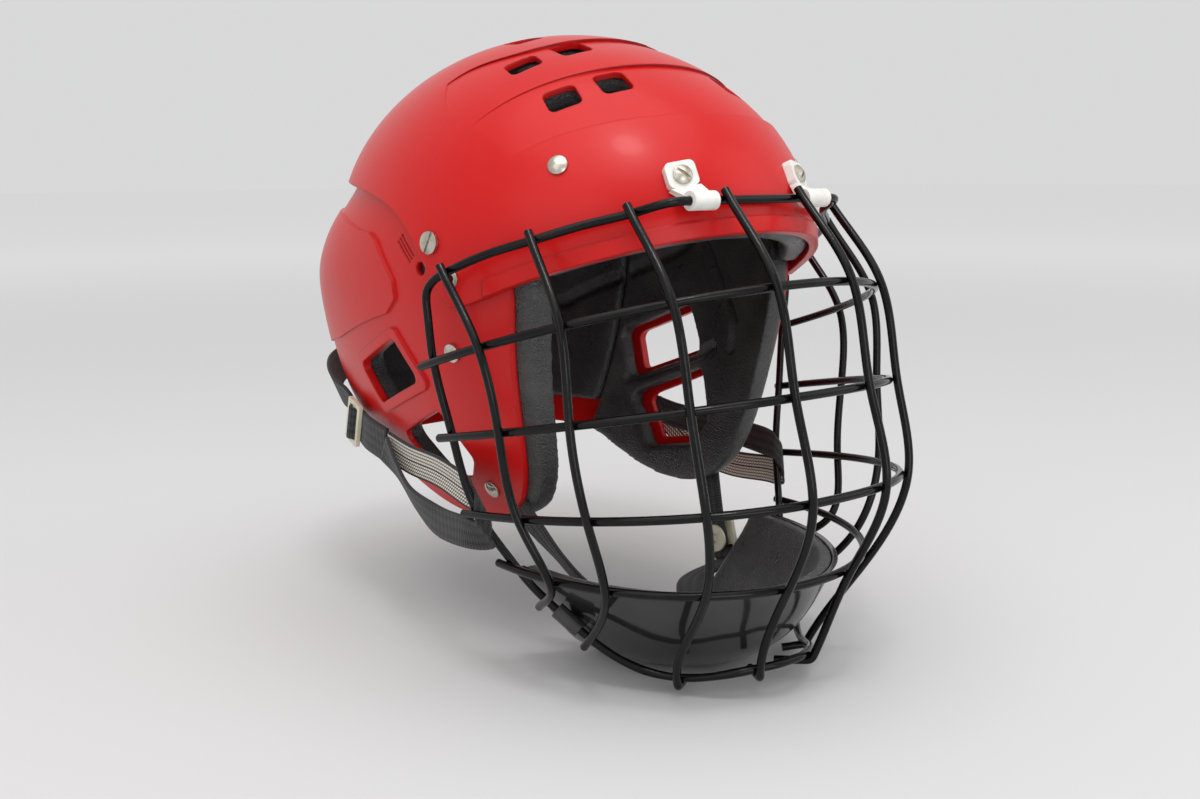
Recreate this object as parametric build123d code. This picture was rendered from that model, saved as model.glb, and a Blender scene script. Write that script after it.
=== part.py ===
from build123d import *
import math
import os

# Ice hockey helmet with a wire cage, in mm, +Z up, the face toward -Y, the wearer's left on +X.
# The origin is the middle of the head space at brow level.

os.makedirs("parts", exist_ok=True)

# Crown shell: an ellipsoid cap over the head, its centre just above the ears.
crown_half_width = 102.5
crown_half_length = 132
crown_height = 97.5
crown_centre_y = 3.5
crown_centre_z = -2.8
shell_wall = 2.8

# Clearances: between the two shells, beside soft pieces, and between seated faces.
nest_gap = 1
soft_gap = 0.3
touch = 0.05
overrun = 300
hole_reach = 12

# Cage: wire, how far it stands off the crown at the sides, how far forward and down it goes.
wire_dia = 3.6
weld_bite = 0.1
cage_clear = 3.9
cage_reach = 177.5
cage_drop = 177
wire_radius = wire_dia / 2
wire_stack = wire_dia - weld_bite
cage_half_width = crown_half_width + cage_clear

# Webbing.
webbing = 1.6
cage_strap_width = 14
nape_strap_width = 17
chin_strap_width = 13

# Travel of the rear shell on its slots, down and back in equal parts.
size_travel = 8
size_turn = -47

mirror_signs = {"right": -1, "left": 1}
size_direction = Vector(1, 0).rotate(Axis.Z, size_turn)
across_x = Vector(1, 0, 0)


def save(node, *shapes):
    """Write one node, which may be a group of separate solids."""
    solids = [solid for shape in shapes for solid in shape.solids()]
    shape = solids[0] if len(solids) == 1 else Compound(children=solids)
    export_step(shape, f"parts/{node}.step")


def mirrored(shape):
    """Give the same shape on the other side of the helmet."""
    return mirror(shape, about=Plane.YZ)


def save_pair(node, right_shape):
    """Write the piece of the right side and its mirror image as two nodes."""
    save(f"{node}_right", right_shape)
    save(f"{node}_left", mirrored(right_shape))


def biggest(shape):
    """Keep the largest solid of a shape and drop slivers."""
    return max(shape.solids(), key=lambda solid: solid.volume)


def side_at(share):
    """Place in the side view, from shares of the crown's half length and height."""
    return Vector(crown_half_length * share[0], crown_height * share[1])


def side_line(shares):
    """Smooth line in the side view through places given in shares."""
    return Spline(*[side_at(share) for share in shares])


def side_prism(*edges):
    """Extrude a closed outline drawn in the side view right through the helmet."""
    outline = make_face(Plane.YZ * Wire(edges))
    return extrude(outline, amount=overrun, both=True)


def block_behind(y):
    """Everything behind a plane across the helmet."""
    return Pos(0, y + overrun, 0) * Box(2 * overrun, 2 * overrun, 2 * overrun)


def block_ahead(y):
    """Everything in front of a plane across the helmet."""
    return Pos(0, y - overrun, 0) * Box(2 * overrun, 2 * overrun, 2 * overrun)


def block_between(low, high):
    """Everything between two heights."""
    return Pos(0, 0, (low + high) / 2) * Box(2 * overrun, 2 * overrun, high - low)


def dome(shrink=0, nose=0, lift=0, spread=0):
    """Crown ellipsoid with an upright skirt below its centre, made smaller by shrink all round."""
    half_width = crown_half_width - shrink + spread
    half_length = crown_half_length - shrink - nose
    height = crown_height - shrink - lift
    ball = scale(Sphere(1), by=(half_width, half_length, height))
    top = split(ball, bisect_by=Plane.XY, keep=Keep.TOP)
    skirt = extrude(Ellipse(half_width, half_length), amount=-crown_height)
    return Pos(0, crown_centre_y, crown_centre_z) * (top + skirt)


def crown_point(x, y):
    """Give the point of the crown's outer face over x, y and the outward normal there."""
    share_x = x / crown_half_width
    share_y = (y - crown_centre_y) / crown_half_length
    share_z = math.sqrt(1 - share_x**2 - share_y**2)
    slope = (share_x / crown_half_width, share_y / crown_half_length, share_z / crown_height)
    return Vector(x, y, crown_centre_z + crown_height * share_z), Vector(slope).normalized()


def crown_front_y(x, z):
    """Give y of the crown's outer face in front at x, z."""
    share_x = x / crown_half_width
    share_z = (z - crown_centre_z) / crown_height
    return crown_centre_y - crown_half_length * math.sqrt(1 - share_x**2 - share_z**2)


def crown_side_point(place):
    """Give the point of the crown's right outer face at a side-view place, and its normal."""
    y, z = place.X, place.Y
    share_y = (y - crown_centre_y) / crown_half_length
    share_z = max(z - crown_centre_z, 0) / crown_height
    share_x = -math.sqrt(1 - share_y**2 - share_z**2)
    slope = (share_x / crown_half_width, share_y / crown_half_length, share_z / crown_height)
    return Vector(crown_half_width * share_x, y, z), Vector(slope).normalized()


def rod(seat, radius, out_reach, in_reach):
    """Plain rod across a wall at a seat of point and normal."""
    point, normal = seat
    base = Plane(origin=point - normal * in_reach, z_dir=normal)
    return base.location * Cylinder(
        radius, out_reach + in_reach, align=(Align.CENTER, Align.CENTER, Align.MIN)
    )


def headed(seat, head_radius, head_height, shank_radius, shank_length, crown_share=0):
    """Fastener with a head standing on its seat, domed by a share of its height, and a shank."""
    head = rod(seat, head_radius, head_height, 0)
    if crown_share:
        rise = head_height * crown_share
        ball_radius = (head_radius**2 + rise**2) / (2 * rise)
        point, normal = seat
        head &= Pos(point + normal * (head_height - ball_radius)) * Sphere(ball_radius)
    return head + rod(seat, shank_radius, 0, shank_length)


def slotted(seat, head_radius, head_height, shank_radius, shank_length, turn, crown_share):
    """Screw with a driver slot cut across its head at a turn in degrees."""
    screw = headed(seat, head_radius, head_height, shank_radius, shank_length, crown_share)
    top = Plane(origin=seat[0] + seat[1] * head_height, z_dir=seat[1])
    slot = Box(2 * head_radius + driver_slot, driver_slot, head_height)
    return screw - top.location * Rot(0, 0, turn) * slot


def moved_seat(seat, out):
    """Shift a seat along its normal."""
    return seat[0] + seat[1] * out, seat[1]


def ribbon(stations, width, thickness=webbing):
    """Loft a flat band through stations of centre, width direction and face direction."""
    sections = []
    for centre, across, facing in stations:
        across = across.normalized()
        facing = facing - across * facing.dot(across)
        plane = Plane(origin=centre, x_dir=across, z_dir=across.cross(facing))
        sections.append(plane * Rectangle(width, thickness))
    return loft(sections, ruled=True)


def laid_stations(centres, facings):
    """Stations of a band through centres, its width square to its run and to each facing."""
    stations = []
    for i, (centre, facing) in enumerate(zip(centres, facings)):
        run = centres[min(i + 1, len(centres) - 1)] - centres[max(i - 1, 0)]
        stations.append((centre, run.cross(facing), facing))
    return stations


# Crown: the side-view lines of its edge and of its two pressed steps, as shares.
brow_edge_share = [(-1.1, 0.092), (-0.97, 0.068), (-0.81, -0.01), (-0.645, -0.092)]
tongue_edge_share = [(-0.5, -0.17), (-0.4, -0.224), (-0.341, -0.246)]
tongue_back_share = (-0.288, -0.2)
tongue_back_turn = 51
rear_edge_share = [(-0.227, -0.092), (-0.144, 0.056), (-0.015, 0.174), (0.152, 0.231)]
nape_edge_share = [(0.455, 0.277), (1.1, 0.308)]
band_step_share = [(-0.38, 0.226), (-0.455, 0.349), (-0.65, 0.513), (-0.795, 0.569), (-1.02, 0.615)]
middle_step_share = [(-0.258, 0.451), (-0.31, 0.564), (-0.485, 0.759), (-0.576, 0.81), (-0.91, 0.88)]
upper_step_share = [(0, 0.718), (-0.053, 0.79), (-0.15, 0.841), (-0.258, 0.923), (-0.68, 1.067)]
lower_step_depth = 2.4
upper_step_depth = 1.3
step_fade = 1.6
lip_height = 7
lip_out = 1.3
lip_end_share = -0.455


def crown_region(rise=0):
    """Everything of the helmet above the crown's edge line, which runs brow, tongue, nape."""
    shift = Vector(0, rise)
    front = Spline(*[side_at(p) + shift for p in brow_edge_share + tongue_edge_share])
    tongue_turn = Vector(1, 0).rotate(Axis.Z, tongue_back_turn)
    tip = Spline(
        front @ 1, side_at(tongue_back_share) + shift, tangents=[front % 1, tongue_turn]
    )
    back = Spline(
        tip @ 1,
        *[side_at(p) + shift for p in rear_edge_share + nape_edge_share],
        tangents=[tip % 1, Vector(1, 0)],
    )
    high_front = (front @ 0) + Vector(0, overrun)
    high_back = (back @ 1) + Vector(0, overrun)
    return side_prism(
        front,
        tip,
        back,
        Line(back @ 1, high_back),
        Line(high_back, high_front),
        Line(high_front, front @ 0),
    )


def step_zone(low_share, high_share, grow):
    """Side-view zone between two step lines, made taller by grow below and above."""
    low = Pos(0, -grow) * side_line(low_share)
    high = Pos(0, grow) * side_line(high_share)
    return side_prism(low, Line(low @ 1, high @ 1), high, Line(high @ 0, low @ 0))


def stepped_dome(shrink=0):
    """Crown solid with its two pressed steps, made smaller by shrink all round."""
    solid = dome(shrink)
    for low, high, depth in (
        (band_step_share, middle_step_share, lower_step_depth),
        (middle_step_share, upper_step_share, upper_step_depth),
    ):
        spread = step_fade * depth / lower_step_depth
        solid -= step_zone(low, high, shrink) - dome(shrink, nose=depth, lift=depth, spread=spread)
    return solid


vent_place_share = [(-0.49, -0.25), (-0.275, -0.288), (-0.527, -0.5), (-0.322, -0.56), (-0.275, -0.015)]
vent_size_share = [(1, 0.87), (1, 1.13), (0.97, 0.9), (0.93, 0.97), (0.93, 1.13)]
vent_size = 15
vent_corner = 3
vent_turn_share = 0.45


def vent_cutters(widen=0):
    """Rounded blocks that cut the vents, each square to the crown's face."""
    cutters = []
    for (place_x, place_y), (wide, long) in zip(vent_place_share, vent_size_share):
        point, normal = crown_point(crown_half_width * place_x, crown_half_length * place_y)
        across = Vector(1, vent_turn_share * place_x, 0)
        across = across - normal * across.dot(normal)
        plane = Plane(origin=point, x_dir=across, z_dir=normal)
        outline = RectangleRounded(vent_size * wide + widen, vent_size * long + widen, vent_corner)
        block = extrude(plane * outline, amount=hole_reach + pad_thickness, both=True)
        cutters += [block, mirrored(block)]
    return cutters


# Fasteners: where they stand, as shares of the crown, and their sizes.
clip_place_share = (0.312, 0.292)
clip_shank_radius = 2
clip_head_radius = 4
clip_head_height = 2.4
clip_head_turn = 40
driver_slot = 1.2
brow_rivet_share = (-0.663, -0.621)
rivet_shank_radius = 1.6
rivet_head_radius = 4.1
rivet_head_height = 2.2
flat_rivet_height = 1.4
rivet_tail_radius = 3.2
rivet_tail = 1.4
dome_share = 0.6
size_place_share = (-0.25, 0.0256)
size_shank_radius = 2.4
size_head_radius = 4.8
size_head_height = 1.8
size_head_turn = 65
eyelet_place_share = (-0.333, -0.123)
eyelet_barrel_radius = 2.9
eyelet_bore_radius = 2
eyelet_flange_radius = 4
eyelet_lip = 0.9
nut_radius = 4.2
nut_height = 3
nut_room = 1.2
nut_lift = 0.15

# Pads and the cup.
pad_thickness = 10
brow_pad_thickness = 12

clip_x = crown_half_width * clip_place_share[0]
clip_z = crown_height * clip_place_share[1]
clip_seat = crown_point(-clip_x, crown_front_y(clip_x, clip_z))
brow_rivet_seat = crown_point(
    crown_half_width * brow_rivet_share[0], crown_half_length * brow_rivet_share[1]
)
size_seat = crown_side_point(side_at(size_place_share))
eyelet_seat = crown_side_point(side_at(eyelet_place_share))


def make_crown():
    """Crown shell with its steps, turned lip, vents and fastener holes."""
    shell = (stepped_dome() - stepped_dome(shell_wall)) & crown_region()
    lip_zone = (crown_region() - crown_region(lip_height)) & block_ahead(
        crown_half_length * lip_end_share
    )
    shell += (dome(-lip_out) - dome(shell_wall / 2)) & lip_zone
    for cutter in vent_cutters():
        shell -= cutter
    for seat, radius in (
        (clip_seat, clip_shank_radius),
        (brow_rivet_seat, rivet_shank_radius),
        (size_seat, size_shank_radius + touch),
        (eyelet_seat, eyelet_barrel_radius),
    ):
        hole = rod(seat, radius, hole_reach, hole_reach)
        shell = shell - hole - mirrored(hole)
    return shell


save("crown_shell", make_crown())

# Rear shell, a basket round the ears and nape. Top to bottom, each level's height, half width,
# back length and squareness, as shares of the crown's height and nested width and half length.
rear_level_share = [
    (0.47, 1, 0.79, 2),
    (0.35, 1, 0.85, 2),
    (0.25, 1, 0.9, 2),
    (0.12, 1, 0.985, 2.2),
    (0, 1, 1.053, 2.4),
    (-0.155, 0.995, 1.106, 2.6),
    (-0.36, 0.968, 1.136, 2.6),
    (-0.595, 0.912, 1.136, 2.6),
    (-0.84, 0.836, 1.083, 2.6),
    (-1.08, 0.74, 0.985, 2.5),
    (-1.335, 0.65, 0.879, 2.4),
]
plan_points = 14
nested_half_width = crown_half_width - shell_wall - nest_gap
nested_half_length = crown_half_length - shell_wall - nest_gap
nested_height = crown_height - shell_wall - nest_gap


def rear_level(z):
    """Half width, front and back length and squareness of the rear shell at a height."""
    width, back, squareness = rear_level_share[-1][1:]
    for high, low in zip(rear_level_share, rear_level_share[1:]):
        if z >= crown_height * low[0]:
            part = (high[0] - z / crown_height) / (high[0] - low[0])
            width, back, squareness = [a + (b - a) * part for a, b in zip(high[1:], low[1:])]
            break
    nest = math.sqrt(1 - (max(z - crown_centre_z, 0) / nested_height) ** 2)
    half_width = nested_half_width * nest * width
    return half_width, nested_half_length * nest, crown_half_length * back, squareness


def rear_point(angle, z, out=0):
    """Point of the rear shell's face: angle 0 at the back, 90 at the left ear, 180 in front."""
    half_width, front_length, back_length, squareness = rear_level(z)
    c, s = math.cos(math.radians(angle)), math.sin(math.radians(angle))
    power = 2 / squareness if c > 0 else 1
    length = back_length if c > 0 else front_length
    x = (half_width + out) * math.copysign(abs(s) ** power, s)
    y = (length + out) * math.copysign(abs(c) ** power, c)
    return Vector(x, crown_centre_y + y, z)


def rear_loft(out=0):
    """Solid through all levels of the rear shell, grown by out."""
    sections = []
    for level in rear_level_share:
        z = crown_height * level[0]
        angles = [180 * i / plan_points for i in range(2 * plan_points)]
        points = [rear_point(angle, z, out) for angle in angles]
        sections.append(make_face(Spline(*points, periodic=True)))
    return loft(sections)


rear_body = rear_loft()


def face_seat(solid, origin, direction):
    """Outermost point of a solid's face on a ray from inside it, and the outward normal there."""
    hits = solid.find_intersection_points(Axis(origin, direction))
    point, normal = max(hits, key=lambda hit: (hit[0] - origin).dot(direction))
    return point, normal if normal.dot(direction) > 0 else -normal


def rear_seat(place):
    """Point of the rear shell's right face at a side-view place and the outward normal there."""
    return face_seat(rear_body, Vector(0, place.X, place.Y), -across_x)


hidden_top_share = [(-0.485, -0.062), (-0.394, 0.133), (-0.227, 0.256), (0.152, 0.37), (1.21, 0.43)]
jaw_line_share = [(1.21, -1.13), (0.47, -1.139), (0.303, -1.21), (0.114, -1.272), (-0.076, -1.287)]
jaw_front_share = [(-0.25, -1.236), (-0.341, -1.159), (-0.4, -1.036), (-0.443, -0.82)]
cheek_edge_share = [(-0.47, -0.554), (-0.492, -0.338), (-0.5, -0.144)]
upper_window_share = [(0.061, -0.426), (-0.042, -0.62), (0.303, -0.795), (0.386, -0.6)]
lower_window_share = [(-0.091, -0.75), (-0.2, -0.974), (-0.152, -1.067), (0.076, -1.128), (0.235, -0.933)]
bulge_top_share = [(1.22, 0.19), (0.51, 0.133), (0.22, 0.06), (0.144, 0.055), (0.106, 0.026)]
bulge_low_share = [(0, -0.159), (0, -0.241), (0.068, -0.313), (0.22, -0.364), (0.57, -0.5), (1.22, -0.65)]
window_corner = 4
window_rim = 4.5
bulge_rise = 1.4
drop_hole_share = (-0.16, -0.092)
drop_hole_radius = 3
rack_start_share = (-0.053, 0.036)
rack_end_share = (-0.117, -0.051)
rack_width = 6
rack_depth = 1.2
rack_ribs = 3
slot_play = 0.5
cheek_rivet_share = (-0.258, -0.456)
jaw_rivet_share = (-0.235, -1.113)

drop_seat = rear_seat(side_at(drop_hole_share))
cheek_rivet_seat = rear_seat(side_at(cheek_rivet_share))
jaw_rivet_seat = rear_seat(side_at(jaw_rivet_share))


def rear_region(forward=0):
    """Side-view area of the rear shell, with its hidden flange under the crown."""
    top = side_line(hidden_top_share)
    front = side_line(jaw_line_share[1:] + jaw_front_share + cheek_edge_share + hidden_top_share[:1])
    corner = side_at(jaw_line_share[0])
    prism = side_prism(top, Line(top @ 1, corner), Line(corner, front @ 0), front)
    return Pos(0, -forward, 0) * prism


def window_prism(corner_share, grow=0):
    """Rounded window through both sides."""
    face = make_face(Polyline(*[side_at(p) for p in corner_share], close=True))
    if grow:
        face = offset(face, amount=grow, kind=Kind.INTERSECTION)
    face = fillet(face.vertices(), window_corner)
    return extrude(Plane.YZ * face, amount=overrun, both=True)


def make_rear():
    """Rear shell with its bulge, windows, size slots, racks and holes."""
    bulge_line = Polyline(*[side_at(p) for p in bulge_top_share + bulge_low_share], close=True)
    raised = extrude(Plane.YZ * make_face(bulge_line), amount=overrun, both=True)
    raised += window_prism(upper_window_share, window_rim)
    outer = rear_body + (rear_loft(bulge_rise) & raised)
    shell = (outer - rear_loft(-shell_wall)) & rear_region()
    shell = shell - window_prism(upper_window_share) - window_prism(lower_window_share)
    for seat, radius in (
        (drop_seat, drop_hole_radius),
        (cheek_rivet_seat, rivet_shank_radius),
        (jaw_rivet_seat, rivet_shank_radius),
    ):
        hole = rod(seat, radius, hole_reach, hole_reach)
        shell = shell - hole - mirrored(hole)

    point, normal = size_seat
    slide = Vector(0, size_direction.X, size_direction.Y) * (size_travel + slot_play)
    slide -= normal * slide.dot(normal)
    slot_plane = Plane(origin=point - slide / 2, x_dir=slide, z_dir=normal)
    slot = SlotCenterToCenter(slide.length, 2 * (size_shank_radius + slot_play))
    cut = extrude(slot_plane * slot, amount=hole_reach, both=True)
    shell = shell - cut - mirrored(cut)

    rack_line = Line(side_at(rack_start_share), side_at(rack_end_share))
    point, normal = rear_seat(rack_line @ 0.5)
    run = rack_line % 0
    rack_plane = Plane(origin=point, x_dir=Vector(0, run.X, run.Y), z_dir=normal)
    pitch = rack_width / rack_ribs
    for i in range(rack_ribs):
        groove = SlotCenterToCenter(rack_line.length, pitch / 2)
        groove = Pos(0, (i - (rack_ribs - 1) / 2) * pitch, 0) * groove
        cut = extrude(rack_plane * groove, amount=rack_depth, both=True)
        shell = shell - cut - mirrored(cut)
    return biggest(shell)


save("rear_shell", make_rear())

# Pads under the shells.
pad_seat = shell_wall + soft_gap
brow_pad_top = 40
brow_pad_rise = 1.5
brow_pad_end_share = -0.575
liner_low_share = 0.482
liner_channel = 12
liner_cross_share = -0.133
vent_room = 2
cheek_pad_back_share = 0.44
cheek_pad_top = 6
cheek_pad_reach = 7
window_room = 3
nape_pad_low_share = -0.985
nape_pad_top = 20
pad_split = 2
small_solid = pad_thickness**3


def pocketed(pad, seats, radius, depth):
    """Cut round pockets into both sides of a pad at the seats."""
    for seat in seats:
        pocket = rod(seat, radius, 0, depth)
        pad = pad - pocket - mirrored(pocket)
    return pad


def sides_of(shape):
    """Split a foam shape into its largest right and left solids."""
    solids = [solid for solid in shape.solids() if solid.volume > small_solid]
    for name, sign in mirror_signs.items():
        half = [solid for solid in solids if solid.center().X * sign > 0]
        yield name, max(half, key=lambda solid: solid.volume)


def make_brow_pad():
    """Curved foam band behind the brow."""
    pad = stepped_dome(pad_seat) - dome(pad_seat + brow_pad_thickness)
    pad &= crown_region(brow_pad_rise)
    pad &= block_ahead(crown_half_length * brow_pad_end_share)
    pad &= block_between(-brow_pad_top, brow_pad_top)
    depth = nut_height + 2 * shell_wall
    return pocketed(pad, (clip_seat, brow_rivet_seat), nut_radius + nut_room, depth)


def make_liner():
    """Foam blocks under the crown, parted by a cross-shaped channel and open at the vents."""
    liner = stepped_dome(pad_seat) - dome(pad_seat + pad_thickness)
    liner &= block_between(crown_height * liner_low_share, crown_height)
    for cutter in vent_cutters(vent_room):
        liner -= cutter
    channel_y = crown_half_length * liner_cross_share
    liner -= Pos(0, channel_y, 0) * Box(overrun, liner_channel, overrun)
    liner -= Box(liner_channel, 2 * overrun, overrun)
    return [solid for solid in liner.solids() if solid.volume > small_solid]


def side_foam():
    """Foam layer inside the whole rear shell."""
    return rear_loft(-pad_seat) - rear_loft(-pad_seat - pad_thickness)


def make_cheek_foam(foam, room):
    """Both cheek pads, open at the windows, hollowed for nuts, tails and the chin strap."""
    zone = rear_region(cheek_pad_reach) & block_ahead(crown_half_length * cheek_pad_back_share)
    foam = foam & zone & block_between(-overrun, cheek_pad_top)
    for window in (upper_window_share, lower_window_share):
        foam -= window_prism(window, window_room)
    foam = pocketed(foam, (cheek_rivet_seat, jaw_rivet_seat), nut_radius, 2 * shell_wall + webbing)
    nut_path = nut_radius + nut_room + size_travel
    foam = pocketed(foam, (size_seat,), nut_path, size_nut_depth + nut_height + nut_room)
    return foam - room - mirrored(room)


def make_nape_foam(foam):
    """Both nape pads, with a channel between them at the back."""
    low = crown_height * nape_pad_low_share
    foam = foam & rear_region() & block_between(low, nape_pad_top)
    foam &= block_behind(crown_half_length * cheek_pad_back_share + pad_split)
    return foam - Box(liner_channel, 2 * overrun, 2 * overrun)


# Small hardware of the shells.
clip_plate = 3.4
strap_bow = 0.6
size_nut_gap = 2.6
size_nut_depth = 2 * shell_wall + nest_gap + size_nut_gap


def make_nut(seat, bore_radius, sides):
    """Nut whose outer face lies on a seat, its body inward."""
    point, normal = seat
    plane = Plane(origin=point, z_dir=-normal)
    outline = RegularPolygon(nut_radius, sides) if sides else Circle(nut_radius)
    return extrude(plane * outline, amount=nut_height) - rod(seat, bore_radius, hole_reach, hole_reach)


def wall_rivet(seat, head_height, crown_share, between):
    """Rivet through a wall and what lies between the wall and its clenched tail."""
    seat = moved_seat(seat, touch)
    depth = shell_wall + between + 2 * touch
    body = headed(
        seat, rivet_head_radius, head_height, rivet_shank_radius, depth + rivet_tail, crown_share
    )
    return body + rod(moved_seat(seat, -depth), rivet_tail_radius, 0, rivet_tail)


save("brow_pad", make_brow_pad())
save("crown_liner", *make_liner())

clip_screw = slotted(
    moved_seat(clip_seat, clip_plate),
    clip_head_radius,
    clip_head_height,
    clip_shank_radius,
    clip_plate + shell_wall + touch + nut_height,
    clip_head_turn,
    dome_share,
)
save("cage_clip_screws", clip_screw, mirrored(clip_screw))
clip_nut = make_nut(moved_seat(clip_seat, -shell_wall - nut_lift), clip_shank_radius, 6)
save("cage_clip_nuts", clip_nut, mirrored(clip_nut))

brow_rivet = wall_rivet(brow_rivet_seat, rivet_head_height, dome_share, 0)
save("brow_pad_rivets", brow_rivet, mirrored(brow_rivet))
cheek_rivet = wall_rivet(cheek_rivet_seat, flat_rivet_height, 0, 0)
save("cheek_pad_rivets", cheek_rivet, mirrored(cheek_rivet))
jaw_rivet = wall_rivet(jaw_rivet_seat, rivet_head_height, dome_share, webbing + 2 * strap_bow)
save("chin_strap_rivets", jaw_rivet, mirrored(jaw_rivet))

size_screw = slotted(
    moved_seat(size_seat, touch),
    size_head_radius,
    size_head_height,
    size_shank_radius,
    size_nut_depth + nut_height,
    size_head_turn,
    0,
)
save_pair("size_screw", size_screw)
size_nut = make_nut(moved_seat(size_seat, -size_nut_depth), size_shank_radius + touch, 0)
save("size_screw_nuts", size_nut, mirrored(size_nut))

eyelet = headed(
    moved_seat(eyelet_seat, touch),
    eyelet_flange_radius,
    eyelet_lip,
    eyelet_barrel_radius,
    shell_wall,
)
eyelet -= rod(eyelet_seat, eyelet_bore_radius, hole_reach, hole_reach)
save("side_eyelets", eyelet, mirrored(eyelet))

# Cage clips: folded plastic straps under the clip screws that hold the straight brow wire.
clip_width = 13
clip_wall = 2
clip_play = 0.08
clip_corner = 2.5
clip_up = 6
clip_down = 5
clip_drop = 8.5
bar_clear = 0.7
bar_overhang = 1
loop_radius = wire_radius + clip_play + clip_wall
hinge_z = clip_z - clip_drop
hinge_y = crown_front_y(0, hinge_z) - wire_radius - bar_clear
bar_half_span = clip_x + clip_width / 2 + bar_overhang
hinge_line = Pos(0, hinge_y, hinge_z) * Rot(0, 90, 0)


def make_clip():
    """Right clip: a plate on the crown's face run down into a loop round the brow wire."""
    point, normal = clip_seat
    across = across_x - normal * across_x.dot(normal)
    plate_plane = Plane(origin=point, x_dir=across, z_dir=normal)
    plate_face = Pos(0, (clip_up - clip_down) / 2) * RectangleRounded(
        clip_width, clip_up + clip_down, clip_corner
    )
    plate = extrude(plate_plane * plate_face, amount=clip_plate)
    plate += extrude(plate_plane * plate_face, amount=-shell_wall)
    down = plate_plane.y_dir * -clip_down
    neck_top = Plane(
        origin=point + down + normal * (clip_plate / 2), x_dir=across, z_dir=plate_plane.y_dir
    )
    neck_low = Plane(origin=(-clip_x, hinge_y, hinge_z), x_dir=across_x, z_dir=(0, 0, 1))
    neck = loft(
        [
            neck_top * Rectangle(clip_width, clip_plate),
            neck_low * Rectangle(clip_width, 2 * loop_radius),
        ],
        ruled=True,
    )
    loop = Pos(-clip_x, 0, 0) * hinge_line * Cylinder(loop_radius, clip_width)
    clip = plate + neck + loop - dome(-touch)
    clip -= hinge_line * Cylinder(wire_radius + clip_play, overrun)
    clip -= rod(clip_seat, clip_shank_radius, hole_reach, hole_reach)
    head_room = moved_seat(clip_seat, clip_plate)
    clip -= rod(head_room, clip_head_radius + clip_wall / 2, hole_reach, 0)
    return biggest(clip)


save_pair("cage_clip", make_clip())

# Cage rim: from the brow wire down the left side to the bottom middle, as shares: first of the
# cage's width and the crown's length and height, then of the cage's width, reach and drop.
rim_brow_share = [
    (0.508, -0.866, 0.162),
    (0.658, -0.758, 0.109),
    (0.789, -0.655, 0.051),
    (0.898, -0.53, -0.01),
    (0.966, -0.417, -0.077),
    (0.991, -0.352, -0.123),
    (1, -0.32, -0.174),
    (1, -0.318, -0.246),
]
rim_jaw_share = [
    (0.981, -0.238, -0.254),
    (0.927, -0.259, -0.432),
    (0.859, -0.29, -0.616),
    (0.766, -0.358, -0.743),
    (0.71, -0.397, -0.805),
    (0.639, -0.454, -0.867),
    (0.545, -0.535, -0.941),
    (0.432, -0.617, -0.992),
    (0.324, -0.702, -1),
    (0.226, -0.78, -0.98),
    (0.103, -0.827, -0.966),
    (0, -0.84, -0.962),
]
rim_samples = 800


def cage_at(share):
    """Place from shares of the cage's half width, reach and drop."""
    return Vector(cage_half_width * share[0], cage_reach * share[1], cage_drop * share[2])


rim_places = [Vector(bar_half_span, hinge_y, hinge_z)]
for share in rim_brow_share:
    rim_places.append(
        Vector(cage_half_width * share[0], crown_half_length * share[1], crown_height * share[2])
    )
rim_places += [cage_at(share) for share in rim_jaw_share]
rim_line = Spline(*rim_places, tangents=[across_x, -across_x])
rim_track = [rim_line @ (i / rim_samples) for i in range(rim_samples + 1)]


def rim_nearest(place):
    """Nearest point of the left rim line to a place, with the rim's direction there."""
    i = min(range(len(rim_track)), key=lambda k: (rim_track[k] - place).length)
    return rim_track[i], rim_line % (i / rim_samples)


def rim_at_height(z):
    """Point of the left rim line's side stretch at a height, with its direction."""
    side = [k for k in range(len(rim_track)) if rim_track[k].X > cage_half_width / 2]
    i = min(side, key=lambda k: abs(rim_track[k].Z - z))
    return rim_track[i], rim_line % (i / rim_samples)


def wire(*edges):
    """Sweep a round section along a line of edges."""
    path = Wire(edges)
    return sweep(Plane(origin=path @ 0, z_dir=path % 0) * Circle(wire_radius), path=path)


# The rim's two ends butt in the middle of the brow bar.
half_rim = wire(Line(Vector(touch / 2, hinge_y, hinge_z), rim_line @ 0), rim_line)
rim_wire = half_rim + mirrored(half_rim)
save("cage_rim_wire", rim_wire)

# Cross wires, top to bottom: height of the side ends, front reach, front height, as shares of the
# cage's drop and reach, and the squareness of the plan.
cross_wire_share = {
    1: (-0.262, -0.885, -0.068, 2),
    2: (-0.438, -0.944, -0.305, 2.15),
    3: (-0.622, -1, -0.531, 2.25),
    4: (-0.743, -0.913, -0.749, 2.1),
}
side_overhang = 5
wire_steps = 9


def cross_wire_frame(level):
    """Side end and front middle of a cross wire's centre line, laid on the outside of the rim."""
    end_share, reach_share, front_share, squareness = cross_wire_share[level]
    end, rim_run = rim_at_height(cage_drop * end_share)
    front = Vector(0, cage_reach * reach_share, cage_drop * front_share)
    run = Vector(0, front.Y - end.Y, front.Z - end.Z)
    out = rim_run.cross(run).normalized()
    out = out if out.X > 0 else -out
    return end + out * wire_stack, front, squareness


def cross_point(level, share):
    """Point and direction of a cross wire, share 0 in front and 1 at its side end."""
    end, front, squareness = cross_wire_frame(level)

    def at(angle):
        deep = abs(math.cos(angle)) ** (2 / squareness)
        wide = math.sin(angle) ** (2 / squareness)
        return Vector(end.X * wide, end.Y + (front.Y - end.Y) * deep, end.Z + (front.Z - end.Z) * deep)

    angle = share * math.pi / 2
    nudge = 1 / rim_samples
    behind, ahead = max(angle - nudge, 0), min(angle + nudge, math.pi / 2)
    return at(angle), (at(ahead) - at(behind)).normalized()


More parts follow.
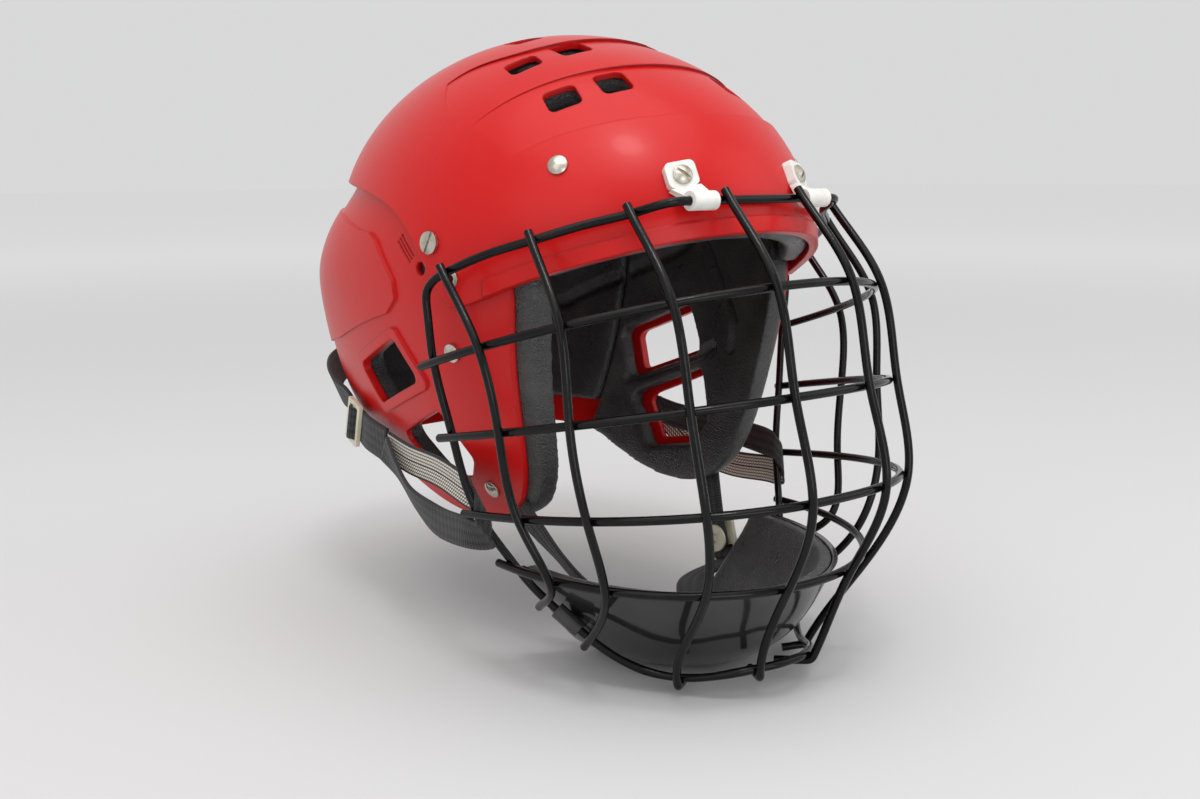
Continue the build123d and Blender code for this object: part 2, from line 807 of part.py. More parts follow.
def share_for_x(level, x):
    """Share along a cross wire where it reaches x."""
    end, _, squareness = cross_wire_frame(level)
    return math.asin((x / end.X) ** (squareness / 2)) / (math.pi / 2)


def cross_wire(level):
    """One horizontal wire with its straight ends past the rim."""
    half = [cross_point(level, i / wire_steps)[0] for i in range(wire_steps + 1)]
    end, front, _ = cross_wire_frame(level)
    back = Vector(0, end.Y - front.Y, end.Z - front.Z).normalized()
    side = half[1:] + [half[-1] + back * side_overhang]
    other_side = [Vector(-p.X, p.Y, p.Z) for p in reversed(side)]
    return wire(Spline(*other_side, *half[:1], *side))


for level in cross_wire_share:
    save(f"cage_cross_wire_{level}", cross_wire(level))

# Uprights: where each crosses the brow rim, the four cross wires and the rim's foot, as shares.
upright_x_share = {
    "middle": (0.195, 0.196, 0.195, 0.166),
    "inner": (0.544, 0.542, 0.532, 0.447),
    "outer": (0.818, 0.813, 0.775, 0.677),
    "side": (0.962, 0.919, 0.861, 0.761),
}
upright_top_share = {
    "inner": (0.508, -0.631, 0.089),
    "outer": (0.789, -0.487, 0.028),
    "side": (0.97, -0.304, -0.045),
}
upright_foot_share = {
    "middle": (0.141, -0.817, -0.969),
    "inner": (0.348, -0.682, -1),
    "outer": (0.569, -0.515, -0.924),
    "side": (0.677, -0.424, -0.835),
}
top_overshoot = 2.5
hook_length = {"middle": 14, "inner": 9}
hook_slope = -0.12


def stand_off(place, along, run):
    """Direction square to both wires at a crossing, pointing out of the cage."""
    out = along.cross(run).normalized()
    return out if out.dot(Vector(place.X, place.Y + cage_reach / 3, 0)) > 0 else -out


def upright(name):
    """Left upright wire, laid over the brow rim, the cross wires and the rim's foot."""
    if name in upright_top_share:
        crossings = [rim_nearest(cage_at(upright_top_share[name]))]
    else:
        crossings = [(Vector(cage_half_width * upright_x_share[name][0], hinge_y, hinge_z), across_x)]
    for level, x_share in zip(cross_wire_share, upright_x_share[name]):
        crossings.append(cross_point(level, share_for_x(level, cage_half_width * x_share)))
    crossings.append(rim_nearest(cage_at(upright_foot_share[name])))
    centres = [centre for centre, _ in crossings]
    points = []
    for i, (centre, along) in enumerate(crossings):
        run = centres[min(i + 1, len(centres) - 1)] - centres[max(i - 1, 0)]
        points.append(centre + stand_off(centre, along, run) * wire_stack)
    top = points[0] + (points[0] - points[1]).normalized() * top_overshoot
    foot, along = crossings[-1]
    out = (points[-1] - foot).normalized()
    run = points[-1] - points[-2]
    run = (run - along * run.dot(along) - out * run.dot(out)).normalized()
    line = Spline(top, *points, tangents=[points[0] - top, run])
    if name not in hook_length:
        return wire(line, Line(line @ 1, (line @ 1) + run * top_overshoot))
    across = out.cross(run)
    back = Vector(-out.X, -out.Y, hook_slope)
    back = (back - across * back.dot(across)).normalized()
    low = (run - back * run.dot(back)).normalized()
    under = foot + low * wire_stack
    bend = TangentArc(line @ 1, under, tangent=run)
    return wire(line, bend, Line(under, under + back * hook_length[name]))


for name in upright_x_share:
    left_wire = upright(name)
    save(f"cage_upright_{name}_left", left_wire)
    save(f"cage_upright_{name}_right", mirrored(left_wire))

# Chin cup: a bowl inside the cage's foot. Each level's height, half width and reach as shares of
# the cage's drop, half width and reach.
cup_level_share = [
    (-0.774, 0.691, 0.518),
    (-0.847, 0.62, 0.482),
    (-0.915, 0.531, 0.445),
    (-0.983, 0.442, 0.372),
    (-1.027, 0.345, 0.29),
    (-1.045, 0.24, 0.205),
]
cup_centre_share = -0.349
cup_back_share = -0.327
cup_wall = 2.2
cup_lining = 6
cup_floor = 3


def cup_loft(shrink=0, floor=0):
    """Solid bowl through the cup's levels, made smaller all round and raised at its floor."""
    sections = []
    for drop_share, width_share, reach_share in cup_level_share:
        top, bottom = cup_level_share[0][0], cup_level_share[-1][0]
        z = cage_drop * drop_share + floor * (drop_share - top) / (bottom - top)
        half_width = cage_half_width * width_share - shrink
        reach = cage_reach * reach_share - shrink
        sections.append(Pos(0, cage_reach * cup_centre_share, z) * Ellipse(half_width, reach))
    return loft(sections)


cup_front = block_ahead(cage_reach * cup_back_share)
cup_body = cup_loft()
cup = biggest((cup_body - cup_loft(cup_wall, cup_floor)) & cup_front)
lining_outer = cup_loft(cup_wall + touch, cup_floor + touch)
lining_inner = cup_loft(cup_wall + cup_lining, cup_floor + cup_lining)
lining = biggest((lining_outer - lining_inner) & cup_front)

# Cup tabs: straps round the rim wire, held to the cup by a domed stud each.
tab_thickness = 1.8
tab_radius = 7
tab_length = 13
stud_place_share = (-0.451, -0.915)
tab_rim_share = (0.623, -0.469, -0.88)
stud_head_radius = 5.2
stud_head_height = 1.8
stud_shank_radius = 2


stud_seat = face_seat(
    cup_body, Vector(0, cage_reach * stud_place_share[0], cage_drop * stud_place_share[1]), -across_x
)


def mirror_point(point):
    """Give the same point on the other side of the helmet."""
    return Vector(-point.X, point.Y, point.Z)


def make_cup_tab():
    """Right tab: a sleeve round the rim wire and a rounded flap on the cup's face."""
    point, normal = stud_seat
    rim_place, rim_run = rim_nearest(cage_at(tab_rim_share))
    rim_place, rim_run = mirror_point(rim_place), mirror_point(rim_run)
    sleeve_plane = Plane(origin=rim_place - rim_run * (tab_length / 2), z_dir=rim_run)
    sleeve_radius = wire_radius + tab_thickness
    sleeve = extrude(sleeve_plane * Circle(sleeve_radius), amount=tab_length)
    flap_end = point + normal * (tab_thickness / 2)
    bridge = ribbon(
        [(rim_place, rim_run, normal), (flap_end, rim_run, normal)], tab_length, tab_thickness
    )
    tab = sleeve + bridge + rod((point, normal), tab_radius, tab_thickness, cup_wall)
    tab = tab - rim_wire - cup_loft(-touch)
    head_room = moved_seat(stud_seat, tab_thickness)
    tab -= rod(head_room, stud_head_radius + tab_thickness / 2, hole_reach, 0)
    return biggest(tab - rod(stud_seat, stud_shank_radius, hole_reach, hole_reach))


cup_stud = headed(
    moved_seat(stud_seat, tab_thickness + touch),
    stud_head_radius,
    stud_head_height,
    stud_shank_radius,
    tab_thickness + 2 * cup_wall,
    dome_share,
)
stud_pocket = rod(stud_seat, stud_shank_radius + touch, hole_reach, 2 * cup_wall + nest_gap)
cup = cup - stud_pocket - mirrored(stud_pocket)
lining = lining - stud_pocket - mirrored(stud_pocket)
save("chin_cup", cup)
save("chin_cup_lining", lining)
save_pair("chin_cup_tab", make_cup_tab())
save("chin_cup_studs", cup_stud, mirrored(cup_stud))

# Cage straps: on each side a hairpin round the rim wire. It goes forward inside the wire, turns
# round it and comes back outside, hanging a little. Its route, in mm on the right side.
upper_route = [(-83.5, 38, -98), (-84, 16, -101), (-85.5, -12, -101.5), (-87.8, -38, -104.5)]
lower_route = [(-92.5, -44, -121), (-90.5, -19, -122), (-88.5, 6, -117)]
lower_route += [(-87, 24, -106), (-86.2, 37, -98.6)]
lower_tilt = 25
turn_high = -107
turn_low = -119
turn_steps = 4
inward = across_x


def make_cage_strap():
    """Right cage strap."""
    upper = [Vector(p) for p in upper_route]
    lower = [Vector(p) for p in lower_route]
    stations = laid_stations(upper, [inward] * len(upper))
    for i in range(turn_steps + 1):
        part = i / turn_steps
        centre, run = rim_at_height(turn_high + (turn_low - turn_high) * part)
        centre, run = mirror_point(centre), mirror_point(run)
        away = inward.rotate(Axis.Z, -180 * part)
        away = (away - run * away.dot(run)).normalized()
        stations.append((centre + away * (wire_radius + soft_gap + webbing / 2), -run, away))
    sag = (-inward).rotate(Axis.Y, -lower_tilt)
    facings = [-inward, -inward, sag, sag, -inward]
    stations += laid_stations(lower, facings)
    return ribbon(stations, cage_strap_width)


save_pair("cage_strap", make_cage_strap())

# Nape strap: from the stitched ends of the cage straps through both sliders and round the back.
# Right half of its route in mm, then its place on the rear shell in degrees and mm.
stitch_route = [(-84.2, 38, -98), (-84, 56, -95)]
slider_place = Vector(-83.4, 73, -91.5)
slider_run = Vector(0.08, 0.95, 0.3)
slider_face = Vector(-1, 0.08, 0)
nape_angle = 60
nape_steps = 9
nape_side_z = -83
nape_back_z = -68.5
nape_offset = webbing / 2 + bulge_rise + soft_gap
slider_length = 14
slider_height = 23
slider_bar = 2.4
slider_thickness = 2
slider_corner = 1.5
weave = slider_thickness / 2 + soft_gap + webbing / 2


def slider_plane():
    """Plane of the right slider, its x axis along the strap's run."""
    run = slider_run.normalized()
    face = (slider_face - run * slider_face.dot(run)).normalized()
    return Plane(origin=slider_place, x_dir=run, z_dir=face)


def make_slider():
    """Right slider: a plate with two slots parted by the middle bar."""
    slot_length = (slider_length - 3 * slider_bar) / 2
    outline = RectangleRounded(slider_length, slider_height, slider_corner)
    for side in (-1, 1):
        place = side * (slot_length + slider_bar) / 2
        outline -= Pos(place, 0) * Rectangle(slot_length, nape_strap_width + 2 * soft_gap)
    plane = slider_plane()
    return extrude(plane * outline, amount=slider_thickness / 2, both=True)


def nape_seat(angle, z):
    """Point of the rear shell's face behind the nape strap, and the outward normal there."""
    heart = Vector(0, crown_centre_y, z)
    return face_seat(rear_body, heart, (rear_point(angle, z) - heart).normalized())


def make_nape_strap():
    """Whole nape strap, under each slider's outer bars and over its middle bar."""
    plane = slider_plane()
    run, face = plane.x_dir, plane.z_dir
    half = slider_length / 2
    woven = [(-half, -1), (slider_bar - half, -1), (-slider_bar / 2, 1), (slider_bar / 2, 1)]
    woven += [(half - slider_bar, -1), (half, -1)]
    centres = [Vector(p) for p in stitch_route]
    facings = [-inward] * len(centres)
    for along, side in woven:
        centres.append(slider_place + run * along + face * (side * weave))
        facings.append(face)
    for i in range(nape_steps):
        part = 1 - i / nape_steps
        angle = nape_angle * part
        z = nape_back_z + (nape_side_z - nape_back_z) * part**2
        point, facing = nape_seat(angle, z)
        centres.append(mirror_point(point + facing * nape_offset))
        facings.append(mirror_point(facing))
    point, facing = nape_seat(0, nape_back_z)
    middle = point + facing * nape_offset
    left_centres = [mirror_point(p) for p in reversed(centres)]
    left_facings = [mirror_point(f) for f in reversed(facings)]
    centres = centres + [middle] + left_centres
    facings = facings + [facing] + left_facings
    return ribbon(laid_stations(centres, facings), nape_strap_width)


save_pair("strap_slider", make_slider())
save("nape_strap", make_nape_strap())

# Chin strap: a long half from the right jaw through the cup, a short half from the left jaw, and a
# press stud between them. Routes in mm.
long_route = [(-59, -46, -122), (-50, -55, -138), (-40, -63, -152), (-20, -70, -166), (0, -72, -170.5)]
long_route += [(18, -66, -170), (30, -54, -169), (42, -46.5, -168)]
snap_place = Vector(56.2, -46.2, -151.1)
snap_turn = 75
stud_radius = 2.2
stud_head = 0.8
stud_length = 4.2
socket_bore_radius = 2.45
socket_radius = 6.7
socket_flange = 1.4
socket_barrel_radius = 3.6
adjuster_length = 25
adjuster_width = 17
adjuster_thickness = 2
adjuster_corner = 2
adjuster_slot = 5.4
adjuster_bar = 3
strap_end = 7
snap_face = -inward
snap_run = Vector(0, 1, 0).rotate(Axis.X, snap_turn)
plate_step = webbing / 2 + soft_gap + socket_flange + soft_gap


def jaw_start(toward):
    """Two stations of the right chin strap under its rivet, run along the shell toward a place."""
    point, normal = jaw_rivet_seat
    centre = point - normal * (shell_wall + strap_bow + webbing / 2)
    run = toward - centre
    run = (run - normal * run.dot(normal)).normalized()
    return [centre - run * strap_end, centre + run * strap_end - normal * strap_bow]


def make_long_strap():
    """Chin strap half from the right jaw to the adjuster."""
    normal = jaw_rivet_seat[1]
    starts = jaw_start(Vector(long_route[0]))
    plate_centre = snap_place + inward * (plate_step + adjuster_thickness / 2)
    step = adjuster_thickness / 2 + soft_gap + webbing / 2
    lower_bar = plate_centre - snap_run * (adjuster_length / 2 - adjuster_bar / 2)
    over = lower_bar + snap_run * (adjuster_bar / 2 + soft_gap) - inward * step
    behind = lower_bar + snap_run * (adjuster_bar / 2 + adjuster_slot - soft_gap) + inward * step
    centres = starts + [Vector(p) for p in long_route]
    up = Vector(0, 0, -1)
    outward = snap_face + up
    facings = [normal, normal, normal, outward, outward, up, up, up, up, up - snap_face]
    centres += [over - snap_run * adjuster_bar, over, behind, behind + snap_run * adjuster_bar]
    facings += [inward] * 4
    strap = ribbon(laid_stations(centres, facings), chin_strap_width)
    return strap - rod(jaw_rivet_seat, rivet_shank_radius, 0, hole_reach)


def make_short_strap():
    """Chin strap half from the left jaw to the snap."""
    over = snap_place + snap_run * (2 * strap_end)
    starts = [mirror_point(p) for p in jaw_start(mirror_point(over))]
    normal = mirror_point(jaw_rivet_seat[1])
    centres = starts + [over, snap_place, snap_place - snap_run * (strap_end / 2)]
    facings = [normal, normal, inward, inward, inward]
    strap = ribbon(laid_stations(centres, facings), chin_strap_width)
    hole = rod((snap_place, snap_face), socket_barrel_radius + soft_gap, hole_reach, hole_reach)
    return strap - hole - mirrored(rod(jaw_rivet_seat, rivet_shank_radius, 0, hole_reach))


def make_socket():
    """Snap socket: a flanged ring on the strap's inner face and a washer on the other."""
    face = snap_place + snap_face * (webbing / 2 + soft_gap)
    back = snap_place + inward * (webbing / 2 + soft_gap)
    ring = rod((face, snap_face), socket_radius, socket_flange, 0)
    washer = rod((back, inward), socket_radius - socket_flange, socket_flange / 2, 0)
    barrel = rod((snap_place, snap_face), socket_barrel_radius, webbing, webbing)
    bore = rod((snap_place, snap_face), socket_bore_radius, hole_reach, hole_reach)
    return ring + washer + barrel - bore


def make_adjuster():
    """Adjuster plate with the slot that the long strap threads, and the snap's stud."""
    centre = snap_place + inward * (plate_step + adjuster_thickness / 2)
    plane = Plane(origin=centre, x_dir=snap_run, z_dir=snap_face)
    outline = RectangleRounded(adjuster_length, adjuster_width, adjuster_corner)
    slot_place = adjuster_bar + adjuster_slot / 2 - adjuster_length / 2
    outline -= Pos(slot_place, 0) * Rectangle(adjuster_slot, chin_strap_width + 2 * soft_gap)
    plate = extrude(plane * outline, amount=adjuster_thickness / 2, both=True)
    stud_base = centre + snap_face * (adjuster_thickness / 2)
    return plate + rod((stud_base, snap_face), stud_radius, stud_length, adjuster_thickness / 2)


save("chin_strap_long", make_long_strap())
save("chin_strap_short", make_short_strap())
save("snap_socket", make_socket())
save("chin_adjuster", make_adjuster())



def strap_room(toward):
    """Space in a cheek pad for a chin strap that runs toward a place on the right."""
    places = jaw_start(toward) + [toward]
    stations = laid_stations(places, [jaw_rivet_seat[1]] * len(places))
    return ribbon(stations, chin_strap_width + 4 * soft_gap, webbing + 2 * rivet_tail)


both_rooms = strap_room(Vector(long_route[0])) + strap_room(mirror_point(snap_place))
foam = side_foam()
for name, pad in sides_of(make_cheek_foam(foam, both_rooms)):
    save(f"cheek_pad_{name}", pad)
for name, pad in sides_of(make_nape_foam(foam)):
    save(f"nape_pad_{name}", pad)
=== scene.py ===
import math

import bmesh
import bpy
from mathutils import Matrix, Vector


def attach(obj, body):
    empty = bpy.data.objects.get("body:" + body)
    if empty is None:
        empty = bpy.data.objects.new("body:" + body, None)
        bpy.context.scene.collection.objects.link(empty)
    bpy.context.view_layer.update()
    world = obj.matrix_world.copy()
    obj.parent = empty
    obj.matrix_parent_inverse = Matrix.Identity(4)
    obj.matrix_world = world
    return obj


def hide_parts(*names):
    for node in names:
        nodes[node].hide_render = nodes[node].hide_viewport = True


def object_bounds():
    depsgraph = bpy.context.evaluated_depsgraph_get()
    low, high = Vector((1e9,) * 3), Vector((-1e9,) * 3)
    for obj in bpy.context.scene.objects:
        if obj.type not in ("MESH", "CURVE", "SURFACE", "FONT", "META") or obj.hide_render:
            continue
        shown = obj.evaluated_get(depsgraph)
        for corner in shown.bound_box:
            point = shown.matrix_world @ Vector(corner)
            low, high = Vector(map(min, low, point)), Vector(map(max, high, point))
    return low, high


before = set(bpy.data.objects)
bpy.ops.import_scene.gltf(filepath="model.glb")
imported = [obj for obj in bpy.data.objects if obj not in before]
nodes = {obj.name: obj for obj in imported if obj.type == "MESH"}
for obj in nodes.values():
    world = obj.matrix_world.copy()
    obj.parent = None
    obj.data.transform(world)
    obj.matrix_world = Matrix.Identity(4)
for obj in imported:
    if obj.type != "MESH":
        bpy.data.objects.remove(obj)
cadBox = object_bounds()
mm = 0.001
print("helmet frame loaded:", len(nodes), "parts")

# Camera, at the photograph's place, in mm and degrees.
cameraPlace = {
    "spot": (-367.85, -490, 30),
    "heading": -38.1447,
    "tiltDown": 10.1818,
    "roll": -0.3666,
    "lens": 37.5,
    "sensor": 36,
    "clipStart": 10,
}


def makeCamera(place):
    heading, tilt, roll = (math.radians(place[key]) for key in ("heading", "tiltDown", "roll"))
    level = math.cos(tilt)
    ahead = Vector((-math.sin(heading) * level, math.cos(heading) * level, -math.sin(tilt)))
    right = Vector((math.cos(heading), math.sin(heading), 0))
    up = right.cross(ahead)
    turned = math.cos(roll) * right + math.sin(roll) * up
    up = math.cos(roll) * up - math.sin(roll) * right
    camera = bpy.data.objects.new("photoCamera", bpy.data.cameras.new("photoCamera"))
    camera.data.lens = place["lens"]
    camera.data.sensor_width = place["sensor"]
    camera.data.clip_start = place["clipStart"] * mm
    axes = Matrix((turned, up, -ahead)).transposed().to_4x4()
    camera.matrix_world = Matrix.Translation(Vector(place["spot"]) * mm) @ axes
    bpy.context.scene.collection.objects.link(camera)
    bpy.context.scene.camera = camera


makeCamera(cameraPlace)
print("camera placed")


# Node groups that several finishes share.
def newGroup(name, inputs, outputs):
    group = bpy.data.node_groups.new(name, "ShaderNodeTree")
    for label, kind, value in inputs:
        socket = group.interface.new_socket(label, in_out="INPUT", socket_type=kind)
        if value is not None:
            socket.default_value = value
    for label, kind in outputs:
        group.interface.new_socket(label, in_out="OUTPUT", socket_type=kind)
    return group, group.nodes.new("NodeGroupInput"), group.nodes.new("NodeGroupOutput")


def addNode(tree, kind, settings=None, values=None):
    node = tree.nodes.new(kind)
    for key, value in (settings or {}).items():
        setattr(node, key, value)
    for key, value in (values or {}).items():
        if isinstance(value, bpy.types.NodeSocket):
            tree.links.new(value, node.inputs[key])
        else:
            node.inputs[key].default_value = value
    return node


def mathNode(tree, operation, first, second=None, clamp=False):
    node = addNode(tree, "ShaderNodeMath", {"operation": operation, "use_clamp": clamp})
    for i, value in enumerate((first, second)):
        if isinstance(value, bpy.types.NodeSocket):
            tree.links.new(value, node.inputs[i])
        elif value is not None:
            node.inputs[i].default_value = value
    return node.outputs[0]


def mixColor(tree, share, first, second):
    node = addNode(tree, "ShaderNodeMix", {"data_type": "RGBA"})
    for index, value in ((0, share), (6, first), (7, second)):
        if isinstance(value, bpy.types.NodeSocket):
            tree.links.new(value, node.inputs[index])
        else:
            node.inputs[index].default_value = value
    return node.outputs[2]


def makeHandlingMarks():
    group, source, result = newGroup(
        "handlingMarks",
        [
            ("Vector", "NodeSocketVector", None),
            ("Cloud Scale", "NodeSocketFloat", 30.0),
            ("Scratch Scale", "NodeSocketFloat", 220.0),
            ("Scratch Turn", "NodeSocketVector", (0.3, 0.7, 0.2)),
        ],
        [("Clouds", "NodeSocketFloat"), ("Scratches", "NodeSocketFloat")],
    )
    place = source.outputs["Vector"]
    clouds = addNode(
        group, "ShaderNodeTexNoise", None,
        {"Vector": place, "Scale": source.outputs["Cloud Scale"], "Detail": 5.0, "Roughness": 0.55},
    )
    turned = addNode(
        group, "ShaderNodeMapping", None,
        {"Vector": place, "Rotation": source.outputs["Scratch Turn"], "Scale": (1.0, 0.035, 0.12)},
    )
    hair = addNode(
        group, "ShaderNodeTexNoise", None,
        {"Vector": turned.outputs[0], "Scale": source.outputs["Scratch Scale"], "Detail": 2.0},
    )
    thin = addNode(
        group, "ShaderNodeMapRange", None,
        {"Value": hair.outputs["Fac"], "From Min": 0.69, "From Max": 0.74},
    )
    worn = addNode(
        group, "ShaderNodeMapRange", None,
        {"Value": clouds.outputs["Fac"], "From Min": 0.5, "From Max": 0.68},
    )
    scratches = mathNode(group, "MULTIPLY", thin.outputs[0], worn.outputs[0])
    group.links.new(clouds.outputs["Fac"], result.inputs["Clouds"])
    group.links.new(scratches, result.inputs["Scratches"])
    return group


def makePebbledSkin():
    group, source, result = newGroup(
        "pebbledSkin",
        [
            ("Vector", "NodeSocketVector", None),
            ("Scale", "NodeSocketFloat", 900.0),
            ("Creases", "NodeSocketFloat", 0.5),
        ],
        [("Height", "NodeSocketFloat")],
    )
    cells = addNode(
        group, "ShaderNodeTexVoronoi", {"feature": "DISTANCE_TO_EDGE"},
        {"Vector": source.outputs["Vector"], "Scale": source.outputs["Scale"]},
    )
    softened = addNode(
        group, "ShaderNodeMapRange", None, {"Value": cells.outputs["Distance"], "From Max": 0.35},
    )
    # Creases lie level, several times as long as they are high.
    level = addNode(
        group, "ShaderNodeMapping", None,
        {"Vector": source.outputs["Vector"], "Scale": (0.22, 0.22, 1.0)},
    )
    folds = addNode(
        group, "ShaderNodeTexNoise", None,
        {"Vector": level.outputs[0], "Scale": 330.0, "Detail": 3.0, "Distortion": 0.6},
    )
    deep = mathNode(group, "MULTIPLY", folds.outputs["Fac"], source.outputs["Creases"])
    total = mathNode(group, "ADD", softened.outputs[0], deep)
    group.links.new(total, result.inputs["Height"])
    return group


def makeWovenBand():
    group, source, result = newGroup(
        "wovenBand",
        [
            ("UV", "NodeSocketVector", None),
            ("Rib Pitch", "NodeSocketFloat", 0.0013),
            ("Pick Pitch", "NodeSocketFloat", 0.0009),
            ("Slant", "NodeSocketFloat", 0.5),
        ],
        [("Height", "NodeSocketFloat"), ("Rib", "NodeSocketFloat"), ("Pick", "NodeSocketFloat")],
    )
    parts = addNode(group, "ShaderNodeSeparateXYZ", None, {"Vector": source.outputs["UV"]})
    along, across = parts.outputs["X"], parts.outputs["Y"]
    ribTurn = mathNode(group, "DIVIDE", across, source.outputs["Rib Pitch"])
    rib = mathNode(group, "PINGPONG", ribTurn, 0.5)
    # The slant mirrors about the middle line, so the twill is a chevron.
    fromMiddle = mathNode(group, "ABSOLUTE", ribTurn)
    slanted = mathNode(group, "MULTIPLY", fromMiddle, source.outputs["Slant"])
    pickTurn = mathNode(group, "DIVIDE", along, source.outputs["Pick Pitch"])
    pick = mathNode(group, "PINGPONG", mathNode(group, "ADD", pickTurn, slanted), 0.5)
    height = mathNode(group, "ADD", mathNode(group, "MULTIPLY", rib, 1.3), pick)
    group.links.new(height, result.inputs["Height"])
    group.links.new(mathNode(group, "MULTIPLY", rib, 2), result.inputs["Rib"])
    group.links.new(mathNode(group, "MULTIPLY", pick, 2), result.inputs["Pick"])
    return group


handlingMarks = makeHandlingMarks()
pebbledSkin = makePebbledSkin()
wovenBand = makeWovenBand()


def newMaterial(name):
    material = bpy.data.materials.new(name)
    material.use_nodes = True
    tree = material.node_tree
    return material, tree, tree.nodes["Principled BSDF"]


def useGroup(tree, group, values):
    return addNode(tree, "ShaderNodeGroup", {"node_tree": group}, values)


# What all the hard finishes share.
wear = {"scratchTint": 0.35, "scratchRough": 0.2, "coatRough": 0.08, "bevelSamples": 4}

# Hard finishes: colours are linear, lengths in metres. The edge is the radius that the shading
# eases corners by.
hardFinishes = {
    "redShell": {
        "color": (0.56, 0.004, 0.004), "worn": (0.6, 0.009, 0.008), "rough": (0.3, 0.4),
        "cloudScale": 14, "scratchScale": 700, "ripple": 40, "rippleHeight": 0.00005,
        "edge": 0.0016, "specular": 0.28, "coat": 0.05, "metallic": 0,
    },
    "platedSteel": {
        "color": (0.62, 0.59, 0.52), "worn": (0.38, 0.33, 0.25), "rough": (0.2, 0.46),
        "cloudScale": 260, "scratchScale": 900, "ripple": 500, "rippleHeight": 0.00004,
        "edge": 0.0004, "specular": 0.5, "coat": 0, "metallic": 1,
    },
    "whitePlastic": {
        "color": (0.84, 0.83, 0.79), "worn": (0.7, 0.67, 0.6), "rough": (0.3, 0.5),
        "cloudScale": 120, "scratchScale": 500, "ripple": 160, "rippleHeight": 0.00003,
        "edge": 0.0005, "specular": 0.5, "coat": 0, "metallic": 0,
    },
    "creamPlastic": {
        "color": (0.76, 0.72, 0.56), "worn": (0.55, 0.5, 0.36), "rough": (0.32, 0.5),
        "cloudScale": 120, "scratchScale": 500, "ripple": 160, "rippleHeight": 0.00003,
        "edge": 0.0005, "specular": 0.5, "coat": 0, "metallic": 0,
    },
    "blackWire": {
        "color": (0.002, 0.002, 0.0022), "worn": (0.006, 0.006, 0.006), "rough": (0.1, 0.2),
        "cloudScale": 90, "scratchScale": 700, "ripple": 160, "rippleHeight": 0.00002,
        "edge": 0.0003, "specular": 0.24, "coat": 0, "metallic": 0,
    },
    "cupPlastic": {
        "color": (0.02, 0.02, 0.021), "worn": (0.03, 0.03, 0.031), "rough": (0.1, 0.24),
        "cloudScale": 40, "scratchScale": 240, "ripple": 60, "rippleHeight": 0.00006,
        "edge": 0.0006, "specular": 0.5, "coat": 0.3, "metallic": 0,
    },
}


def makeHardFinish(name, look):
    material, tree, shader = newMaterial(name)
    place = addNode(tree, "ShaderNodeTexCoord").outputs["Object"]
    marks = useGroup(
        tree, handlingMarks,
        {"Vector": place, "Cloud Scale": look["cloudScale"], "Scratch Scale": look["scratchScale"]},
    )
    clouds, scratches = marks.outputs["Clouds"], marks.outputs["Scratches"]
    stained = addNode(
        tree, "ShaderNodeMapRange", None, {"Value": clouds, "From Min": 0.42, "From Max": 0.75},
    ).outputs[0]
    tint = mixColor(tree, stained, (*look["color"], 1), (*look["worn"], 1))
    rubbed = mathNode(tree, "MULTIPLY", scratches, wear["scratchTint"])
    tint = mixColor(tree, rubbed, tint, (*look["worn"], 1))
    tree.links.new(tint, shader.inputs["Base Color"])
    low, high = look["rough"]
    rough = addNode(
        tree, "ShaderNodeMapRange", None,
        {"Value": clouds, "From Min": 0.35, "From Max": 0.7, "To Min": low, "To Max": high},
    ).outputs[0]
    scuffed = mathNode(tree, "MULTIPLY", scratches, wear["scratchRough"])
    rough = mathNode(tree, "ADD", rough, scuffed, clamp=True)
    tree.links.new(rough, shader.inputs["Roughness"])
    ripple = addNode(
        tree, "ShaderNodeTexNoise", None, {"Vector": place, "Scale": look["ripple"], "Detail": 2.0},
    )
    edge = addNode(
        tree, "ShaderNodeBevel", {"samples": wear["bevelSamples"]}, {"Radius": look["edge"]},
    )
    bump = addNode(
        tree, "ShaderNodeBump", None,
        {
            "Height": ripple.outputs["Fac"], "Distance": look["rippleHeight"],
            "Strength": 1.0, "Normal": edge.outputs[0],
        },
    )
    tree.links.new(bump.outputs[0], shader.inputs["Normal"])
    shader.inputs["Metallic"].default_value = look["metallic"]
    shader.inputs["Specular IOR Level"].default_value = look["specular"]
    shader.inputs["Coat Weight"].default_value = look["coat"]
    shader.inputs["Coat Roughness"].default_value = wear["coatRough"]
    return material


hardMaterials = {name: makeHardFinish(name, look) for name, look in hardFinishes.items()}

# Skinned foam of the pads.
foamSkin = {
    "color": (0.044, 0.044, 0.045), "dusty": (0.08, 0.079, 0.077), "rough": (0.26, 0.46),
    "pebbles": 700, "creases": 1.0, "depth": 0.00035, "strength": 0.6, "cloudScale": 45.0,
}


def makeFoamSkin(name, look):
    material, tree, shader = newMaterial(name)
    place = addNode(tree, "ShaderNodeTexCoord").outputs["Object"]
    skin = useGroup(
        tree, pebbledSkin, {"Vector": place, "Scale": look["pebbles"], "Creases": look["creases"]},
    )
    marks = useGroup(tree, handlingMarks, {"Vector": place, "Cloud Scale": look["cloudScale"]})
    clouds = marks.outputs["Clouds"]
    dust = addNode(
        tree, "ShaderNodeMapRange", None, {"Value": clouds, "From Min": 0.45, "From Max": 0.8},
    ).outputs[0]
    tree.links.new(
        mixColor(tree, dust, (*look["color"], 1), (*look["dusty"], 1)), shader.inputs["Base Color"]
    )
    low, high = look["rough"]
    rough = addNode(
        tree, "ShaderNodeMapRange", None,
        {"Value": clouds, "From Min": 0.35, "From Max": 0.7, "To Min": low, "To Max": high},
    )
    tree.links.new(rough.outputs[0], shader.inputs["Roughness"])
    bump = addNode(
        tree, "ShaderNodeBump", None,
        {
            "Height": skin.outputs["Height"], "Distance": look["depth"],
            "Strength": look["strength"],
        },
    )
    tree.links.new(bump.outputs[0], shader.inputs["Normal"])
    return material


